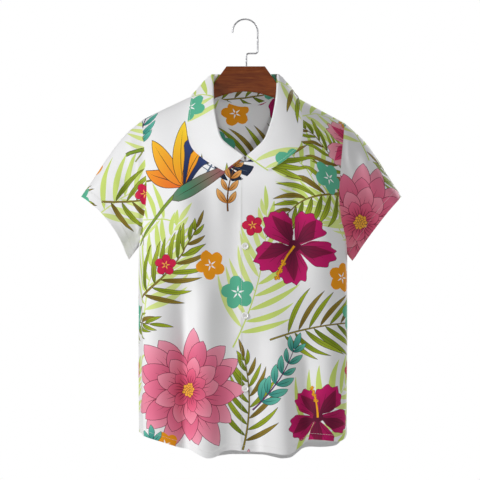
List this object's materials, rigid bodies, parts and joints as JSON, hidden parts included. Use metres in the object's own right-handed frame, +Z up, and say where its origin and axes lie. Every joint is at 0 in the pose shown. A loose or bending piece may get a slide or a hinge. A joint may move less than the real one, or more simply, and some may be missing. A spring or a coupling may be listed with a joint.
{
  "type": "hawaiian shirt on a hanger",
  "caption": "Short-sleeved printed camp shirt, buttoned and filled out, hung on a flat wooden hanger with a wire hook.",
  "frame": {"origin": "inner top of the hook's arc, where it hangs on a rail", "axes": "+Z up, the shirt's front faces -Y, +X towards the wearer's left sleeve"},
  "size_m": [0.639, 0.2278, 0.8796],
  "materials": {
    "printed_cloth": "smooth light shirt cloth, white ground with a tropical leaf and flower print, soft sheen",
    "button_resin": "white resin, softly polished",
    "hanger_wood": "reddish brown stain under satin varnish",
    "hook_wire": "bright plated wire"
  },
  "bodies": {
    "root": {"shirt_front_right": "printed_cloth", "shirt_front_left": "printed_cloth", "shirt_back": "printed_cloth", "shirt_sleeve_right": "printed_cloth", "shirt_sleeve_left": "printed_cloth", "shirt_collar": "printed_cloth", "shirt_button_upper": "button_resin", "shirt_button_middle": "button_resin", "shirt_button_lower": "button_resin", "hanger_wood": "hanger_wood", "hanger_hook": "hook_wire"}
  },
  "joints": []
}
